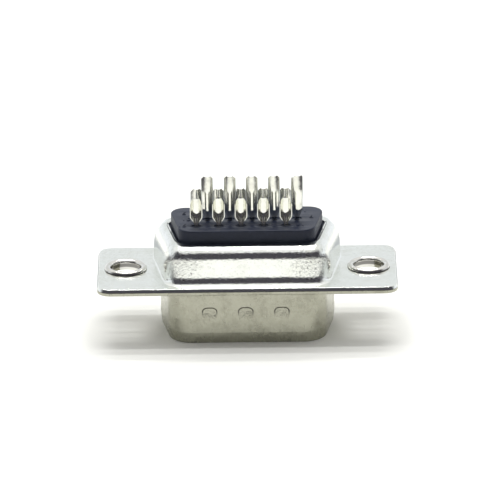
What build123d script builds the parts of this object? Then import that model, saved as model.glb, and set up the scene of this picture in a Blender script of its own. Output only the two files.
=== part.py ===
"""Solder-cup plug connector with a D-shaped metal shell and fifteen contacts in three rows.

The part stands on the mouth of its plug, with the solder cups on top.
+Z points from the mouth to the solder cups, X runs along the flange, and the
wide side of the D faces +Y. The origin is in the middle of the mouth. Sizes are in mm.
"""
import os
from collections import namedtuple
from math import cos, radians, tan

from build123d import *

# Contact field
contacts_per_row = 5
contact_pitch = 2.29
row_spacing = 1.98

# Plug shell
plug_inside_width = 17.25
plug_inside_height = 8.6
plug_corner = 2.25
plug_depth = 5.84
side_taper = 10.0
shell_sheet = 0.35
plug_bend = 0.15
mouth_band_height = 1.15
mouth_band_inset = 0.12

# Dimples pressed into both long sides of the plug
dimple_count = 3
dimple_pitch = 3.7
dimple_width = 1.6
dimple_height = 1.2
dimple_depth = 0.28
dimple_corner = 0.45
dimple_from_flange = 1.86
dimple_shift = -0.2

# Rear shell
insulator_ledge = 0.62
rear_rise = 4.0
rear_corner = 2.4
rear_bend = 0.5
shoulder_radius = 1.12
shoulder_end_width = 1.8
shoulder_side_width = 1.72

# Flange, the same on both shells
hole_offset = 2.9
ear_end = 2.91
flange_rim = 0.98
flange_corner = 1.4

# Insulators
insulator_clearance = 0.05
insulator_step = 0.45
collar_thickness = 2.0
boss_rise = 1.33
boss_corner = 1.5
boss_edge_radius = 0.12
boss_clearance = 0.08

# Eyelets
eyelet_bore = 3.05
eyelet_wall = 0.3
eyelet_lip_reach = 0.375
eyelet_lip_height = 0.37
eyelet_roll = 0.3
eyelet_flare = 0.25
eyelet_clearance = 0.03

# Contacts
pin_diameter = 0.76
pin_recess = 0.6
pin_tip_radius = 0.3
pin_clearance = 0.02
barrel_diameter = 1.5
barrel_depth = 0.8
barrel_clearance = 0.05
cup_radius = 0.63
cup_sheet = 0.17
cup_lip = 0.14
cup_way_clearance = 0.12
neck_radius = 0.26
rim_half_width = 0.33
rim_dip = 0.08
rim_drop = 0.26

# A tail is the part of a contact that stands above the insulator
Tail = namedtuple("Tail", "length neck_top flare_top stem_radius cup_height")
short_tail = Tail(length=2.8, neck_top=0.45, flare_top=1.0, stem_radius=cup_radius, cup_height=1.3)
tall_tail = Tail(length=4.87, neck_top=0.2, flare_top=1.3, stem_radius=0.57, cup_height=1.6)
stem_step = 0.3

# Worked out from the sizes above
rear_inside_width = plug_inside_width + 2 * insulator_ledge
rear_inside_height = plug_inside_height + 2 * insulator_ledge
rear_outside_width = rear_inside_width + 2 * shell_sheet
rear_outside_height = rear_inside_height + 2 * shell_sheet
boss_width = rear_outside_width - 2 * shoulder_end_width
boss_height = rear_outside_height - 2 * shoulder_side_width
hole_spacing = rear_outside_width + 2 * hole_offset
flange_width = hole_spacing + 2 * ear_end
flange_depth = rear_outside_height + 2 * flange_rim
flange_seam = plug_depth + shell_sheet
flange_top = flange_seam + shell_sheet
shoulder_top = flange_top + rear_rise
shoulder_underside = shoulder_top - shell_sheet
parting_plane = flange_seam + collar_thickness
rear_face = shoulder_top + boss_rise
barrel_top = rear_face - barrel_depth
eyelet_outside = eyelet_bore + 2 * eyelet_wall
eyelet_hole = eyelet_outside + 2 * eyelet_clearance


def d_outline(width, height, corner):
    """Draw a D: its wide side is at +Y, and its ends lean in by the side taper."""
    lean = radians(side_taper)
    wide_half = width / 2 + corner * (tan(lean) + 1 / cos(lean) - 1)
    narrow_half = wide_half - height * tan(lean)
    outline = Polygon(
        (wide_half, height / 2),
        (-wide_half, height / 2),
        (-narrow_half, -height / 2),
        (narrow_half, -height / 2),
        align=None,
    )
    return fillet(outline.vertices(), corner)


def d_block(width, height, corner, bottom, top):
    """Fill a D outline between two heights."""
    return extrude(Pos(0, 0, bottom) * d_outline(width, height, corner), top - bottom)


def flange_plate(bottom):
    """Fill one sheet of the flange, still without its openings."""
    outline = RectangleRounded(flange_width, flange_depth, flange_corner)
    return extrude(Pos(0, 0, bottom) * outline, shell_sheet)


def eyelet_holes(bottom):
    """Make the two cutters for the eyelet holes in one sheet of the flange."""
    spots = [place * Circle(eyelet_hole / 2) for place in GridLocations(hole_spacing, 0, 2, 1)]
    return extrude(Pos(0, 0, bottom) * (Sketch() + spots), shell_sheet)


def countersinks():
    """Make the two cones in the plug's flange that take the flared ends of the eyelets."""
    cone = Cone(eyelet_hole / 2 + eyelet_flare, eyelet_hole / 2, eyelet_flare)
    places = GridLocations(hole_spacing, 0, 2, 1)
    return Part() + [Pos(0, 0, plug_depth + eyelet_flare / 2) * place * cone for place in places]


def foot_edges(shape, height):
    """Find the edges where the flat face at this height meets the D."""
    flat = shape.faces().filter_by(Plane.XY).filter_by_position(Axis.Z, height - 0.001, height + 0.001)
    return flat.sort_by(SortBy.AREA)[-1].inner_wires()[0].edges()


def plug_tube(outset):
    """Fill the plug's D, set out from its inside, with a mouth that leans in a little."""
    width = plug_inside_width + 2 * outset
    height = plug_inside_height + 2 * outset
    corner = plug_corner + outset
    mouth = d_outline(width - 2 * mouth_band_inset, height - 2 * mouth_band_inset, corner - mouth_band_inset)
    band_top = Pos(0, 0, mouth_band_height) * d_outline(width, height, corner)
    band = loft([mouth, band_top], ruled=True)
    return band + d_block(width, height, corner, mouth_band_height, flange_seam)


def dimple_wedges(inset):
    """Make the arch-topped wedges of all dimples, deepest at the top, on both long sides."""
    top = plug_depth - dimple_from_flange
    wall = inset - plug_inside_height / 2 - shell_sheet
    arch = Pos(0, top - dimple_height / 2) * Rectangle(dimple_width, dimple_height)
    arch = fillet(arch.vertices().sort_by(Axis.Y)[2:], dimple_corner)
    reach = extrude(Plane.XZ * arch, plug_inside_height)
    slope = Polygon(
        (wall - shell_sheet, top),
        (wall + dimple_depth, top),
        (wall, top - dimple_height),
        (wall - shell_sheet, top - dimple_height),
        align=None,
    )
    wedge = reach & extrude(Plane.YZ * slope, dimple_width, both=True)
    places = GridLocations(dimple_pitch, 0, dimple_count, 1)
    row = Part() + [Pos(dimple_shift) * place * wedge for place in places]
    return row + Rot(0, 0, 180) * row


def plug_shell():
    """Make the drawn front shell: its flange sheet, D tube, bend and dimples."""
    shell = fillet(foot_edges(flange_plate(plug_depth) + plug_tube(shell_sheet), plug_depth), plug_bend)
    shell = shell - plug_tube(0)
    shell = fillet(foot_edges(shell, flange_seam), plug_bend + shell_sheet)
    shell = shell + (dimple_wedges(shell_sheet) & plug_tube(shell_sheet))
    return shell - dimple_wedges(0) - eyelet_holes(plug_depth) - countersinks()


def rear_shell():
    """Make the drawn rear shell: its flange sheet, D box, shoulder and opening for the boss."""
    box = d_block(rear_outside_width, rear_outside_height, rear_corner, flange_seam, shoulder_top)
    box = fillet(box.faces().sort_by(Axis.Z)[-1].edges(), shoulder_radius)
    shell = flange_plate(flange_seam) + box
    shell = fillet(foot_edges(shell, flange_top), rear_bend)
    inside_corner = rear_corner - shell_sheet
    hollow = d_block(rear_inside_width, rear_inside_height, inside_corner, flange_seam, shoulder_underside)
    hollow = fillet(hollow.faces().sort_by(Axis.Z)[-1].edges(), shoulder_radius - shell_sheet)
    shell = fillet(foot_edges(shell - hollow, flange_seam), rear_bend + shell_sheet)
    opening = d_block(
        boss_width + 2 * boss_clearance,
        boss_height + 2 * boss_clearance,
        boss_corner + boss_clearance,
        flange_seam,
        shoulder_top,
    )
    return shell - opening - eyelet_holes(flange_seam)


def contact_places():
    """List each contact's place, tail and turn, from the wide side's row to the narrow side's."""
    rows = [
        (row_spacing, -contact_pitch / 4, short_tail, 180),
        (0, contact_pitch / 4, tall_tail, 180),
        (-row_spacing, -contact_pitch / 4, short_tail, 0),
    ]
    places = []
    for row_y, row_shift, tail, turn in rows:
        for column in range(contacts_per_row):
            column_x = (column - (contacts_per_row - 1) / 2) * contact_pitch + row_shift
            places.append((column_x, row_y, tail, turn))
    return places


def round_holes(diameter, bottom, top):
    """Make one cutter or plug of this diameter at every contact, between two heights."""
    spots = [Pos(x, y, bottom) for x, y, tail, turn in contact_places()]
    return extrude(Sketch() + [spot * Circle(diameter / 2) for spot in spots], top - bottom)


def front_insulator():
    """Make the front insulator: a D in the plug with a collar that sits on the plug's flange."""
    gap = 2 * insulator_clearance
    front_face = plug_depth - insulator_step
    body = d_block(
        plug_inside_width - gap,
        plug_inside_height - gap,
        plug_corner - insulator_clearance,
        front_face,
        flange_seam,
    )
    collar = d_block(
        rear_inside_width - gap,
        rear_inside_height - gap,
        rear_corner - shell_sheet - insulator_clearance,
        flange_seam,
        parting_plane,
    )
    return body + collar - round_holes(pin_diameter + 2 * pin_clearance, front_face, parting_plane)


def rear_insulator():
    """Make the rear insulator: a block held under the shoulder, and the boss through its opening."""
    gap = 2 * insulator_clearance
    block = d_block(
        rear_inside_width - gap,
        rear_inside_height - gap,
        rear_corner - shell_sheet - insulator_clearance,
        parting_plane,
        shoulder_underside,
    )
    block = fillet(block.faces().sort_by(Axis.Z)[-1].edges(), shoulder_radius - shell_sheet)
    boss = d_block(boss_width, boss_height, boss_corner, parting_plane, rear_face)
    boss = fillet(boss.faces().sort_by(Axis.Z)[-1].edges(), boss_edge_radius)
    barrel_ways = round_holes(barrel_diameter + 2 * barrel_clearance, parting_plane, barrel_top)
    cup_ways = round_holes(2 * (cup_radius + cup_way_clearance), barrel_top, rear_face)
    return block + boss - barrel_ways - cup_ways


def eyelet():
    """Make one eyelet: a tube that flares flush into the front and has a rolled lip at the back."""
    bore = eyelet_bore / 2
    outside = eyelet_outside / 2
    lip = outside + eyelet_lip_reach
    flare_top = plug_depth + eyelet_flare
    lip_top = flange_top + eyelet_lip_height
    profile = Polygon(
        (bore, plug_depth),
        (outside + eyelet_flare, plug_depth),
        (outside, flare_top),
        (outside, flange_top),
        (lip, flange_top),
        (lip, lip_top),
        (bore, lip_top),
        align=None,
    )
    rolled = [corner for corner in profile.vertices() if corner.Y > lip_top - 0.001]
    profile = fillet(rolled, eyelet_roll)
    return revolve(Plane.XZ * profile, Axis.Z)


def channel(radius, height):
    """Draw the U section of a tail: a half ring with straight lips towards -Y."""
    inner = radius - cup_sheet
    outline = [
        Line((-radius, -cup_lip), (-radius, 0)),
        ThreePointArc((-radius, 0), (0, radius), (radius, 0)),
        Line((radius, 0), (radius, -cup_lip)),
        Line((radius, -cup_lip), (inner, -cup_lip)),
        Line((inner, -cup_lip), (inner, 0)),
        ThreePointArc((inner, 0), (0, inner), (-inner, 0)),
        Line((-inner, 0), (-inner, -cup_lip)),
        Line((-inner, -cup_lip), (-radius, -cup_lip)),
    ]
    return Pos(0, 0, height) * make_face(Curve() + outline)


def rim_shape(top):
    """Fill all that lies under the rim, which dips in the middle and drops at both lips."""
    side = cup_radius + cup_sheet
    side_top = top - rim_drop
    floor = parting_plane
    outline = [
        Line((-side, floor), (-side, side_top)),
        Line((-side, side_top), (-cup_radius, side_top)),
        Line((-cup_radius, side_top), (-rim_half_width, top)),
        ThreePointArc((-rim_half_width, top), (0, top - rim_dip), (rim_half_width, top)),
        Line((rim_half_width, top), (cup_radius, side_top)),
        Line((cup_radius, side_top), (side, side_top)),
        Line((side, side_top), (side, floor)),
        Line((side, floor), (-side, floor)),
    ]
    return extrude(Plane.XZ * make_face(Curve() + outline), 2 * side, both=True)


def tail_solid(tail):
    """Make a tail: a narrow neck, a flare, a stem, and the cup with its shaped rim."""
    top = rear_face + tail.length
    cup_bottom = top - tail.cup_height
    sections = [
        (neck_radius, barrel_top - cup_sheet),
        (neck_radius, rear_face + tail.neck_top),
        (tail.stem_radius, rear_face + tail.flare_top),
        (tail.stem_radius, cup_bottom - stem_step),
        (cup_radius, cup_bottom),
        (cup_radius, top),
    ]
    blank = loft([channel(radius, height) for radius, height in sections], ruled=True)
    return blank & rim_shape(top)


def contact(tail):
    """Make one contact: round pin, barrel trapped between the insulators, and solder cup."""
    pin = extrude(Pos(0, 0, pin_recess) * Circle(pin_diameter / 2), parting_plane - pin_recess)
    pin = fillet(pin.faces().sort_by(Axis.Z)[0].edges(), pin_tip_radius)
    barrel = extrude(Pos(0, 0, parting_plane) * Circle(barrel_diameter / 2), barrel_top - parting_plane)
    return pin + barrel + tail_solid(tail)


def write(shape, node):
    """Save one piece under its node name."""
    export_step(shape, f"parts/{node}.step")


os.makedirs("parts", exist_ok=True)
write(plug_shell(), "plug_shell")
write(rear_shell(), "rear_shell")
write(front_insulator(), "front_insulator")
write(rear_insulator(), "rear_insulator")
for side_x, side_name in ((-hole_spacing / 2, "left"), (hole_spacing / 2, "right")):
    write(Pos(side_x, 0, 0) * eyelet(), f"eyelet_{side_name}")
for number, (contact_x, contact_y, tail, turn) in enumerate(contact_places(), start=1):
    write(Pos(contact_x, contact_y, 0) * Rot(0, 0, turn) * contact(tail), f"contact_{number:02d}")
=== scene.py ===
"""Looks of a solder-cup plug connector: two plated shells, black insulators, eyelets and fifteen contacts.

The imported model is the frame. Sizes in the classes are in millimetres and repeat the frame's own,
and each mesh is made in metres, in the frame's place: +Z to the solder cups, the narrow side at -Y.
"""

import logging
import math
from collections.abc import Callable, Iterable, Sequence
from dataclasses import dataclass, field
from enum import Enum

import bmesh
import bpy
from mathutils import Euler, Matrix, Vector
from mathutils.geometry import tessellate_polygon

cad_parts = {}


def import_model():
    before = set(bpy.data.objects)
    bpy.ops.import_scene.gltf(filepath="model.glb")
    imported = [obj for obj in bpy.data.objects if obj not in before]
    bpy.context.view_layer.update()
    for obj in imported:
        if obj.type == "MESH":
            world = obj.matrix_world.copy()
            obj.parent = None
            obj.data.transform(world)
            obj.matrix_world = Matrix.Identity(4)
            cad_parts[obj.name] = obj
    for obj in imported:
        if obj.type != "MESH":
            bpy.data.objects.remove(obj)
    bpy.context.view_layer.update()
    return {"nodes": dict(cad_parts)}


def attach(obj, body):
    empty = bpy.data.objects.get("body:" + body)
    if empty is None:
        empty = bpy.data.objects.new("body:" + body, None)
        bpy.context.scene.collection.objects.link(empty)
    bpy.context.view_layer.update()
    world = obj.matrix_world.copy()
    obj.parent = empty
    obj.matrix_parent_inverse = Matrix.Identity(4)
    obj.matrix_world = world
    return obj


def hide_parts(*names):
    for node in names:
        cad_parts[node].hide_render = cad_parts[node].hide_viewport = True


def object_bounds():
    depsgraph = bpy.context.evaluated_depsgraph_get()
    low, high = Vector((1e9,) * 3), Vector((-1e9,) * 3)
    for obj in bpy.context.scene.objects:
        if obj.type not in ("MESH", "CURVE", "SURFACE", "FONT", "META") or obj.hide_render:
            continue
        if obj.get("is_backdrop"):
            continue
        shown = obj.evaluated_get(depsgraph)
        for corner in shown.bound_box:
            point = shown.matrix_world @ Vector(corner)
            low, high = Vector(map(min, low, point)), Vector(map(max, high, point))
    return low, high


LOG = logging.getLogger("connector")
MM = 0.001
BODY = "root"
# The mesh value that paints shade into the crevices of the plug's dimples.
CREASE_SHADE = "pits_and_painted_shade"
SAME_PLACE = 1e-8  # In metres: mesh points closer than this are one.
ON_AXIS = 1e-6  # In millimetres: a smaller radius is a point on the axis.

Point = tuple[float, float, float]
Flat = tuple[float, float]
Colour = tuple[float, float, float]


class Facing(Enum):
    """The side to which a contact's cup opens."""

    NARROW_SIDE = 0.0
    WIDE_SIDE = math.pi


def ease(low: float, high: float, value: float) -> float:
    """Rise smoothly from 0 to 1 between two values.

    Args:
        low: the value at which the rise starts.
        high: the value at which it ends.
        value: the value asked for.

    Returns:
        The share, from 0 to 1.
    """
    share = min(1.0, max(0.0, (value - low) / (high - low)))
    return share * share * (3 - 2 * share)


def quarter(steps: int, first: int = 0) -> list[float]:
    """Divide a quarter turn into steps.

    Args:
        steps: how many steps there are.
        first: the step to begin with.

    Returns:
        The angles, the quarter turn with them.
    """
    return [math.pi / 2 * i / steps for i in range(first, steps + 1)]


def straight(start: Flat, end: Flat, steps: int) -> list[Flat]:
    """Divide a straight line into steps.

    Args:
        start: where it starts.
        end: where it ends.
        steps: how many steps there are.

    Returns:
        The points between both ends.
    """
    (ax, ay), (bx, by) = start, end
    shares = [i / steps for i in range(1, steps)]
    return [(ax + (bx - ax) * share, ay + (by - ay) * share) for share in shares]


def grey(level: float) -> Colour:
    """Give the grey of one level."""
    return (level, level, level)


# Meshes


class Skin:
    """A closed mesh that is built ring by ring, in millimetres."""

    def __init__(self) -> None:
        """Start with no points and no faces."""
        self.points: list[Point] = []
        self.faces: list[tuple[int, ...]] = []

    def ring(self, points: Iterable[Point]) -> list[int]:
        """Add the points of one ring.

        Args:
            points: the ring's points in order.

        Returns:
            The points' numbers.
        """
        start = len(self.points)
        self.points.extend(points)
        return list(range(start, len(self.points)))

    def bridge(self, first: Sequence[int], second: Sequence[int]) -> None:
        """Join two closed rings that have as many points each.

        Args:
            first: one ring's points.
            second: the other ring's points.
        """
        count = len(first)
        for i in range(count):
            j = (i + 1) % count
            self.faces.append((first[i], first[j], second[j], second[i]))

    def stack(self, rings: Sequence[Sequence[int]]) -> None:
        """Join each ring to the next one."""
        for lower, upper in zip(rings, rings[1:]):
            self.bridge(lower, upper)

    def plate(self, outer: Sequence[int], holes: Sequence[Sequence[int]] = ()) -> None:
        """Fill a flat face between an outline and the holes in it.

        Args:
            outer: the outline's points.
            holes: the points of each hole.
        """
        loops = [list(outer), *[list(hole) for hole in holes]]
        flat = [[Vector((self.points[i][0], self.points[i][1], 0)) for i in loop] for loop in loops]
        order = [i for loop in loops for i in loop]
        for triangle in tessellate_polygon(flat):
            self.faces.append(tuple(order[i] for i in triangle))

    def mesh(self, name: str, sharp: float = 32.0) -> bpy.types.Mesh:
        """Make the mesh, with its faces outwards and its hard edges sharp.

        Args:
            name: the mesh's name.
            sharp: the angle in degrees past which an edge is hard.

        Returns:
            The mesh, in metres.
        """
        mesh = bpy.data.meshes.new(name)
        mesh.from_pydata([Vector(p) * MM for p in self.points], [], self.faces)
        work = bmesh.new()
        work.from_mesh(mesh)
        bmesh.ops.remove_doubles(work, verts=work.verts, dist=SAME_PLACE)
        bmesh.ops.recalc_face_normals(work, faces=work.faces)
        work.to_mesh(mesh)
        work.free()
        mesh.shade_smooth()
        mesh.set_sharp_from_angle(angle=math.radians(sharp))
        return mesh


def put(name: str, data: bpy.types.ID) -> bpy.types.Object:
    """Add an object to the scene, at the origin.

    Args:
        name: the object's name.
        data: its mesh, curve, lamp or camera.

    Returns:
        The object.
    """
    added = bpy.data.objects.new(name, data)
    bpy.context.scene.collection.objects.link(added)
    return added


def add_piece(name: str, mesh: bpy.types.Mesh, material: bpy.types.Material) -> bpy.types.Object:
    """Put a finished mesh into the scene as a piece.

    Args:
        name: the piece's name.
        mesh: its mesh, in place.
        material: its finish.

    Returns:
        The piece.
    """
    piece = put(name, mesh)
    mesh.materials.clear()
    mesh.materials.append(material)
    return piece


@dataclass(frozen=True)
class DOutline:
    """A D whose wide side is at +Y, with the same number of points at every size."""

    width: float
    height: float
    corner: float
    lean: float = math.radians(10.0)
    arc_steps: int = 10
    long_steps: int = 40
    end_steps: int = 6

    def ring(self) -> list[tuple[Flat, Flat]]:
        """Walk the outline anticlockwise.

        Returns:
            Each point with its outward direction.
        """
        wide = self.width / 2 - self.corner
        rise = self.height / 2 - self.corner
        narrow = wide - 2 * rise * math.tan(self.lean)
        corners = [
            (wide, rise, -self.lean, math.pi / 2, self.long_steps),
            (-wide, rise, math.pi / 2, math.pi + self.lean, self.end_steps),
            (-narrow, -rise, math.pi + self.lean, 1.5 * math.pi, self.long_steps),
            (narrow, -rise, 1.5 * math.pi, 2 * math.pi - self.lean, self.end_steps),
        ]
        arcs = []
        for x, y, start, end, steps in corners:
            arc = []
            for i in range(self.arc_steps + 1):
                angle = start + (end - start) * i / self.arc_steps
                way = (math.cos(angle), math.sin(angle))
                arc.append(((x + self.corner * way[0], y + self.corner * way[1]), way))
            arcs.append((arc, steps))
        walked = []
        for (arc, steps), (following, _) in zip(arcs, arcs[1:] + arcs[:1]):
            end, way = arc[-1]
            start, _ = following[0]
            walked.extend(arc)
            walked.extend((point, way) for point in straight(end, start, steps))
        return walked


@dataclass(frozen=True)
class FlangeOutline:
    """The flange's rounded rectangle."""

    width: float = 30.81
    depth: float = 12.5
    corner: float = 1.4
    arc_steps: int = 12
    edge_steps: int = 12

    def ring(self, outset: float, height: float) -> list[Point]:
        """Walk the outline, set in or out.

        Args:
            outset: how far outside the outline the ring lies.
            height: the ring's height.

        Returns:
            The ring's points.
        """
        half_x, half_y = self.width / 2 - self.corner, self.depth / 2 - self.corner
        radius = self.corner + outset
        middles = ((half_x, half_y), (-half_x, half_y), (-half_x, -half_y), (half_x, -half_y))
        arcs = []
        for start, (x, y) in enumerate(middles):
            angles = [(start + i / self.arc_steps) * math.pi / 2 for i in range(self.arc_steps + 1)]
            arcs.append([(x + radius * math.cos(a), y + radius * math.sin(a)) for a in angles])
        walked: list[Flat] = []
        for arc, following in zip(arcs, arcs[1:] + arcs[:1]):
            walked.extend([*arc, *straight(arc[-1], following[0], self.edge_steps)])
        return [(x, y, height) for x, y in walked]


def circle(x: float, y: float, radius: float, height: float, steps: int = 48) -> list[Point]:
    """Walk a level circle.

    Args:
        x: the middle's X.
        y: the middle's Y.
        radius: the circle's radius.
        height: the circle's height.
        steps: how many points it has.

    Returns:
        The circle's points.
    """
    angles = [2 * math.pi * i / steps for i in range(steps)]
    return [(x + radius * math.cos(a), y + radius * math.sin(a), height) for a in angles]


def lathe(
    profile: Sequence[Flat],
    steps: int,
    uneven: Callable[[float, float], float] | None = None,
) -> Skin:
    """Turn a profile about +Z.

    Args:
        profile: radius and height of each point; it closes on itself, or starts and ends on the axis.
        steps: how many points each circle has.
        uneven: gives what is added to a radius, from the angle and the height.

    Returns:
        The turned skin.
    """
    skin = Skin()
    rings = []
    for radius, height in profile:
        if radius < ON_AXIS:
            rings.append(skin.ring([(0.0, 0.0, height)]) * steps)
            continue
        points = []
        for i in range(steps):
            angle = 2 * math.pi * i / steps
            reach = radius + (uneven(angle, height) if uneven else 0.0)
            points.append((reach * math.cos(angle), reach * math.sin(angle), height))
        rings.append(skin.ring(points))
    closed = profile[0][0] > ON_AXIS
    for first, second in zip(rings, rings[1:] + (rings[:1] if closed else [])):
        for i in range(steps):
            j = (i + 1) % steps
            corners = (first[i], first[j], second[j], second[i])
            skin.faces.append(tuple(dict.fromkeys(corners)))
    return skin


# Shader building


class Signal:
    """A number that varies over a surface. An expression on signals adds its Math nodes."""

    def __init__(self, tree: bpy.types.NodeTree, socket: bpy.types.NodeSocket) -> None:
        """Wrap a socket of a node tree."""
        self.tree = tree
        self.socket = socket

    def _math(self, operation: str, first: "Signal | float", second: "Signal | float") -> "Signal":
        """Add one Math node.

        Args:
            operation: the Math node's operation.
            first: its first value.
            second: its second value.

        Returns:
            The node's result.
        """
        node = self.tree.nodes.new("ShaderNodeMath")
        node.operation = operation
        for socket, value in zip(node.inputs, (first, second)):
            if isinstance(value, Signal):
                self.tree.links.new(value.socket, socket)
            else:
                socket.default_value = value
        return Signal(self.tree, node.outputs[0])

    def __add__(self, other: "Signal | float") -> "Signal":
        """Add."""
        return self._math("ADD", self, other)

    def __radd__(self, other: float) -> "Signal":
        """Add, the number first."""
        return self._math("ADD", other, self)

    def __sub__(self, other: "Signal | float") -> "Signal":
        """Subtract."""
        return self._math("SUBTRACT", self, other)

    def __rsub__(self, other: float) -> "Signal":
        """Subtract from a number."""
        return self._math("SUBTRACT", other, self)

    def __mul__(self, other: "Signal | float") -> "Signal":
        """Multiply."""
        return self._math("MULTIPLY", self, other)

    def __rmul__(self, other: float) -> "Signal":
        """Multiply, the number first."""
        return self._math("MULTIPLY", other, self)

    def root(self) -> "Signal":
        """Take the square root."""
        return self._math("SQRT", self, 0.0)

    def most(self, other: "Signal | float") -> "Signal":
        """Take the larger one."""
        return self._math("MAXIMUM", self, other)


class Paint:
    """A node tree of a material, of the world or of Geometry Nodes, with one method for each need."""

    def __init__(self, tree: bpy.types.NodeTree) -> None:
        """Take over a tree and empty it."""
        self.tree = tree
        tree.nodes.clear()

    def node(self, kind: str, settings: dict | None = None, sockets: dict | None = None) -> bpy.types.Node:
        """Add a node.

        Args:
            kind: the node's type.
            settings: its own settings, set first.
            sockets: the value or the link of each input, by name or number.

        Returns:
            The node.
        """
        node = self.tree.nodes.new(kind)
        for name, value in (settings or {}).items():
            setattr(node, name, value)
        for name, value in (sockets or {}).items():
            socket = node.inputs[name]
            if isinstance(value, Signal):
                self.tree.links.new(value.socket, socket)
            elif isinstance(value, bpy.types.NodeSocket):
                self.tree.links.new(value, socket)
            else:
                socket.default_value = value
        return node

    def signal(self, socket: bpy.types.NodeSocket) -> Signal:
        """Wrap a socket so that it can stand in an expression."""
        return Signal(self.tree, socket)

    def axes(self, vector: bpy.types.NodeSocket) -> list[Signal]:
        """Split a vector into its X, Y and Z."""
        split = self.node("ShaderNodeSeparateXYZ", {}, {0: vector})
        return [self.signal(output) for output in split.outputs]

    def rays(self, kind: str) -> Signal:
        """Give 1 to the rays of one kind and 0 to all others."""
        return self.signal(self.node("ShaderNodeLightPath").outputs[f"Is {kind} Ray"])

    def place(self, stretch: Point = (1.0, 1.0, 1.0), turn: Point = (0.0, 0.0, 0.0)) -> bpy.types.NodeSocket:
        """Give the place on the piece in millimetres.

        Args:
            stretch: how often a pattern repeats along each axis, against once a millimetre.
            turn: the angles by which the pattern is turned.

        Returns:
            The vector.
        """
        here = self.node("ShaderNodeTexCoord").outputs["Object"]
        sockets = {"Vector": here, "Rotation": turn, "Scale": tuple(s / MM for s in stretch)}
        return self.node("ShaderNodeMapping", {}, sockets).outputs[0]

    def noise(self, scale: float, detail: float = 2.0, rough: float = 0.5, **where: Point) -> Signal:
        """Give cloudy noise from 0 to 1.

        Args:
            scale: how many clouds there are in a millimetre.
            detail: how many finer layers are added.
            rough: how strong the finer layers are.
            where: the stretch and turn of the pattern.

        Returns:
            The noise.
        """
        sockets = {"Vector": self.place(**where), "Scale": scale, "Detail": detail, "Roughness": rough}
        return self.signal(self.node("ShaderNodeTexNoise", {}, sockets).outputs[0])

    def band(self, value: Signal, low: float, high: float, bottom: float = 0.0, top: float = 1.0) -> Signal:
        """Rise smoothly from one value to another.

        Args:
            value: what is looked at.
            low: where the rise starts.
            high: where it ends.
            bottom: the result before it.
            top: the result after it.

        Returns:
            The result.
        """
        sockets = {"Value": value, "From Min": low, "From Max": high, "To Min": bottom, "To Max": top}
        node = self.node("ShaderNodeMapRange", {"interpolation_type": "SMOOTHSTEP"}, sockets)
        return self.signal(node.outputs[0])

    def blend(
        self,
        share: Signal,
        first: Colour | bpy.types.NodeSocket,
        second: Colour | bpy.types.NodeSocket,
    ) -> bpy.types.NodeSocket:
        """Blend two colours. A Mix node takes colours at inputs 6 and 7 and gives one at output 2.

        Args:
            share: how much of the second one there is.
            first: the colour at 0.
            second: the colour at 1.

        Returns:
            The blended colour.
        """
        node = self.node("ShaderNodeMix", {"data_type": "RGBA"}, {0: share})
        for number, colour in ((6, first), (7, second)):
            if isinstance(colour, bpy.types.NodeSocket):
                self.tree.links.new(colour, node.inputs[number])
            else:
                node.inputs[number].default_value = (*colour, 1.0)
        return node.outputs[2]

    def bump(self, height: Signal) -> bpy.types.NodeSocket:
        """Turn a height in millimetres into a normal."""
        sockets = {"Height": height, "Distance": MM, "Strength": 1.0}
        return self.node("ShaderNodeBump", {}, sockets).outputs[0]


def new_material(name: str) -> tuple[bpy.types.Material, Paint]:
    """Make an empty node material.

    Args:
        name: the material's name.

    Returns:
        The material and its tree.
    """
    material = bpy.data.materials.new(name)
    material.use_nodes = True
    return material, Paint(material.node_tree)


def surface(paint: Paint, sockets: dict) -> None:
    """Finish a material with one main shader.

    Args:
        paint: the material's tree.
        sockets: the shader's values and links.
    """
    shader = paint.node("ShaderNodeBsdfPrincipled", {}, sockets)
    paint.node("ShaderNodeOutputMaterial", {}, {"Surface": shader.outputs[0]})


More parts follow.
